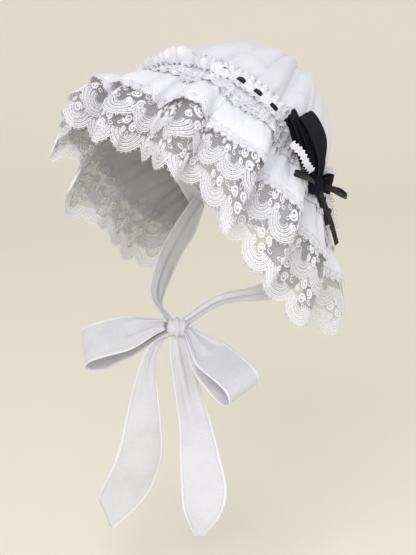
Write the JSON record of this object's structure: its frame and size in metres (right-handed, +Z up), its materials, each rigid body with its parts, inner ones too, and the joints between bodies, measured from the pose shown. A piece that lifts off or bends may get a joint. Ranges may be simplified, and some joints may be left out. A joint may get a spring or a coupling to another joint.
{
  "type": "bonnet",
  "caption": "Gathered cotton bonnet with a puffed crown, a layered frill of cotton and lace over the brow, a ribbon-threaded lace band, a side bow and ties knotted under the chin.",
  "frame": {"origin": "underside of the band over the top of the head, where the head carries the bonnet", "axes": "+Z up with the head upright, the face towards -Y, the wearer's left towards +X"},
  "size_m": [0.3037, 0.2714, 0.5071],
  "materials": {
    "cotton": "matt plain weave cotton, cool off-white",
    "lace_lower": "embroidered net lace, off-white, the net seen through",
    "lace_upper": "embroidered net lace, off-white, the net seen through",
    "edging": "narrow scalloped cotton lace",
    "beading": "ladder lace with open slots",
    "black_ribbon": "narrow black satin ribbon",
    "black_cloth": "black plain cloth",
    "tie_cloth": "off-white cotton with stitched edges"
  },
  "bodies": {
    "root": {"crown": "cotton", "band": "cotton", "lace_tier_lower": "lace_lower", "lace_tier_upper": "lace_upper", "cotton_frill": "cotton", "frill_edging": "edging", "threaded_ribbon": "black_ribbon", "beading_lace": "beading", "side_bow_knot": "black_cloth", "side_bow_loop_front": "black_cloth", "side_bow_loop_back": "black_cloth", "side_bow_loop_low": "black_cloth", "narrow_loop_front": "black_ribbon", "narrow_loop_back": "black_ribbon", "narrow_tail_long": "black_ribbon", "narrow_tail_short": "black_ribbon", "bow_lace_front": "edging", "bow_lace_back": "edging", "chin_knot": "tie_cloth", "chin_loop_right": "tie_cloth", "chin_loop_left": "tie_cloth", "tie_left": "tie_cloth", "tie_right": "tie_cloth", "chin_tail_right": "tie_cloth", "chin_tail_left": "tie_cloth"}
  },
  "joints": []
}
